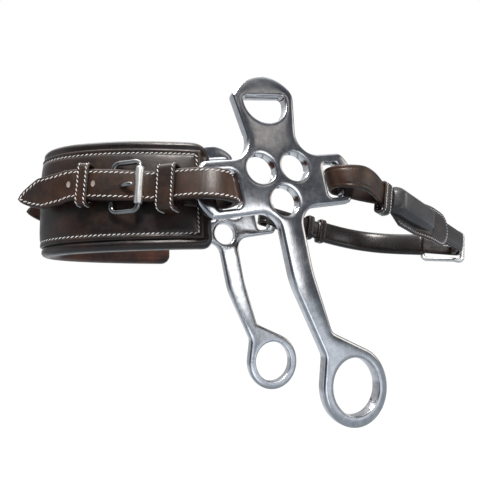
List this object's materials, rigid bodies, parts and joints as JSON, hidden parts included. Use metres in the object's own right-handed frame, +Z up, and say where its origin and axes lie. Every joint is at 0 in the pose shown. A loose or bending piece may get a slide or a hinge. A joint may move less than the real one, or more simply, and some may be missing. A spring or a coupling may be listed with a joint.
{
  "type": "bitless hackamore",
  "caption": "Bitless hackamore with a padded leather noseband, a buckled curb strap and two stainless lever cheeks with rein rings.",
  "frame": {"origin": "midway between the two cheeks, on the axis through the two front bars, which the noseband turns on", "axes": "+X from the nose to the jaw, +Y to the horse's right, +Z up the cheek plates"},
  "size_m": [0.3142, 0.1142, 0.1998],
  "materials": {
    "steel": "polished",
    "leather": "smooth, waxed",
    "lining": "smooth"
  },
  "bodies": {
    "noseband": {"nose_lining": "lining", "nose_pad": "leather", "nose_panel": "leather", "left_base_strap": "leather", "right_base_strap": "leather", "left_billet": "leather", "right_billet": "leather", "left_fixed_keeper": "leather", "right_fixed_keeper": "leather", "left_buckle": "steel", "right_buckle": "steel"},
    "left_cheek": {"left_cheek": "steel"},
    "right_cheek": {"right_cheek": "steel"},
    "left_roller": {"left_roller": "steel"},
    "right_roller": {"right_roller": "steel"},
    "left_prong": {"left_prong": "steel"},
    "right_prong": {"right_prong": "steel"},
    "left_running_keeper": {"left_running_keeper": "leather"},
    "right_running_keeper": {"right_running_keeper": "leather"},
    "curb": {"curb_chape": "leather", "curb_plate_keeper": "leather", "curb_box_keeper": "leather", "curb_backing": "leather", "curb_buckle": "steel", "curb_billet": "leather", "curb_pad": "leather", "curb_pad_cover": "leather", "curb_far_loop": "leather", "curb_inner_keeper": "leather", "curb_outer_keeper": "leather"},
    "curb_prong": {"curb_prong": "steel"}
  },
  "joints": [
    {"name": "left_lever", "type": "hinge", "parent": "noseband", "child": "left_cheek", "pos_m": [0, -0.05025, 0], "axis": [0, -1, 0], "range_deg": [-15, 10]},
    {"name": "right_lever", "type": "hinge", "parent": "noseband", "child": "right_cheek", "pos_m": [0, 0.05025, 0], "axis": [0, -1, 0], "range_deg": [-15, 10]},
    {"name": "curb_swing", "type": "hinge", "parent": "left_cheek", "child": "curb", "pos_m": [0.088, 0, 0], "axis": [0, -1, 0], "range_deg": [0, 30]},
    {"name": "left_roller_spin", "type": "hinge", "parent": "noseband", "child": "left_roller", "pos_m": [-0.03096, -0.0456, 0.00727], "axis": [0.2164, 0, 0.9763], "continuous": true},
    {"name": "right_roller_spin", "type": "hinge", "parent": "noseband", "child": "right_roller", "pos_m": [-0.03096, 0.0456, 0.00727], "axis": [0.2164, 0, 0.9763], "continuous": true},
    {"name": "left_prong_lift", "type": "hinge", "parent": "noseband", "child": "left_prong", "pos_m": [-0.04277, -0.03564, 0.00989], "axis": [-0.2164, 0, -0.9763], "range_deg": [0, 35]},
    {"name": "right_prong_lift", "type": "hinge", "parent": "noseband", "child": "right_prong", "pos_m": [-0.04277, 0.03564, 0.00989], "axis": [0.2164, 0, 0.9763], "range_deg": [0, 35]},
    {"name": "left_keeper_slide", "type": "slide", "parent": "noseband", "child": "left_running_keeper", "axis": [-0.8785, 0.4363, 0.1948], "range_m": [-0.003, 0.002]},
    {"name": "right_keeper_slide", "type": "slide", "parent": "noseband", "child": "right_running_keeper", "axis": [-0.8785, -0.4363, 0.1948], "range_m": [-0.003, 0.002]},
    {"name": "curb_prong_lift", "type": "hinge", "parent": "curb", "child": "curb_prong", "pos_m": [0.21728, -0.01, -0.05374], "axis": [-0.3746, 0, -0.9272], "range_deg": [0, 35]}
  ],
  "couplings": [
    {"joint": "right_lever", "follows": "left_lever", "ratio": 1}
  ]
}
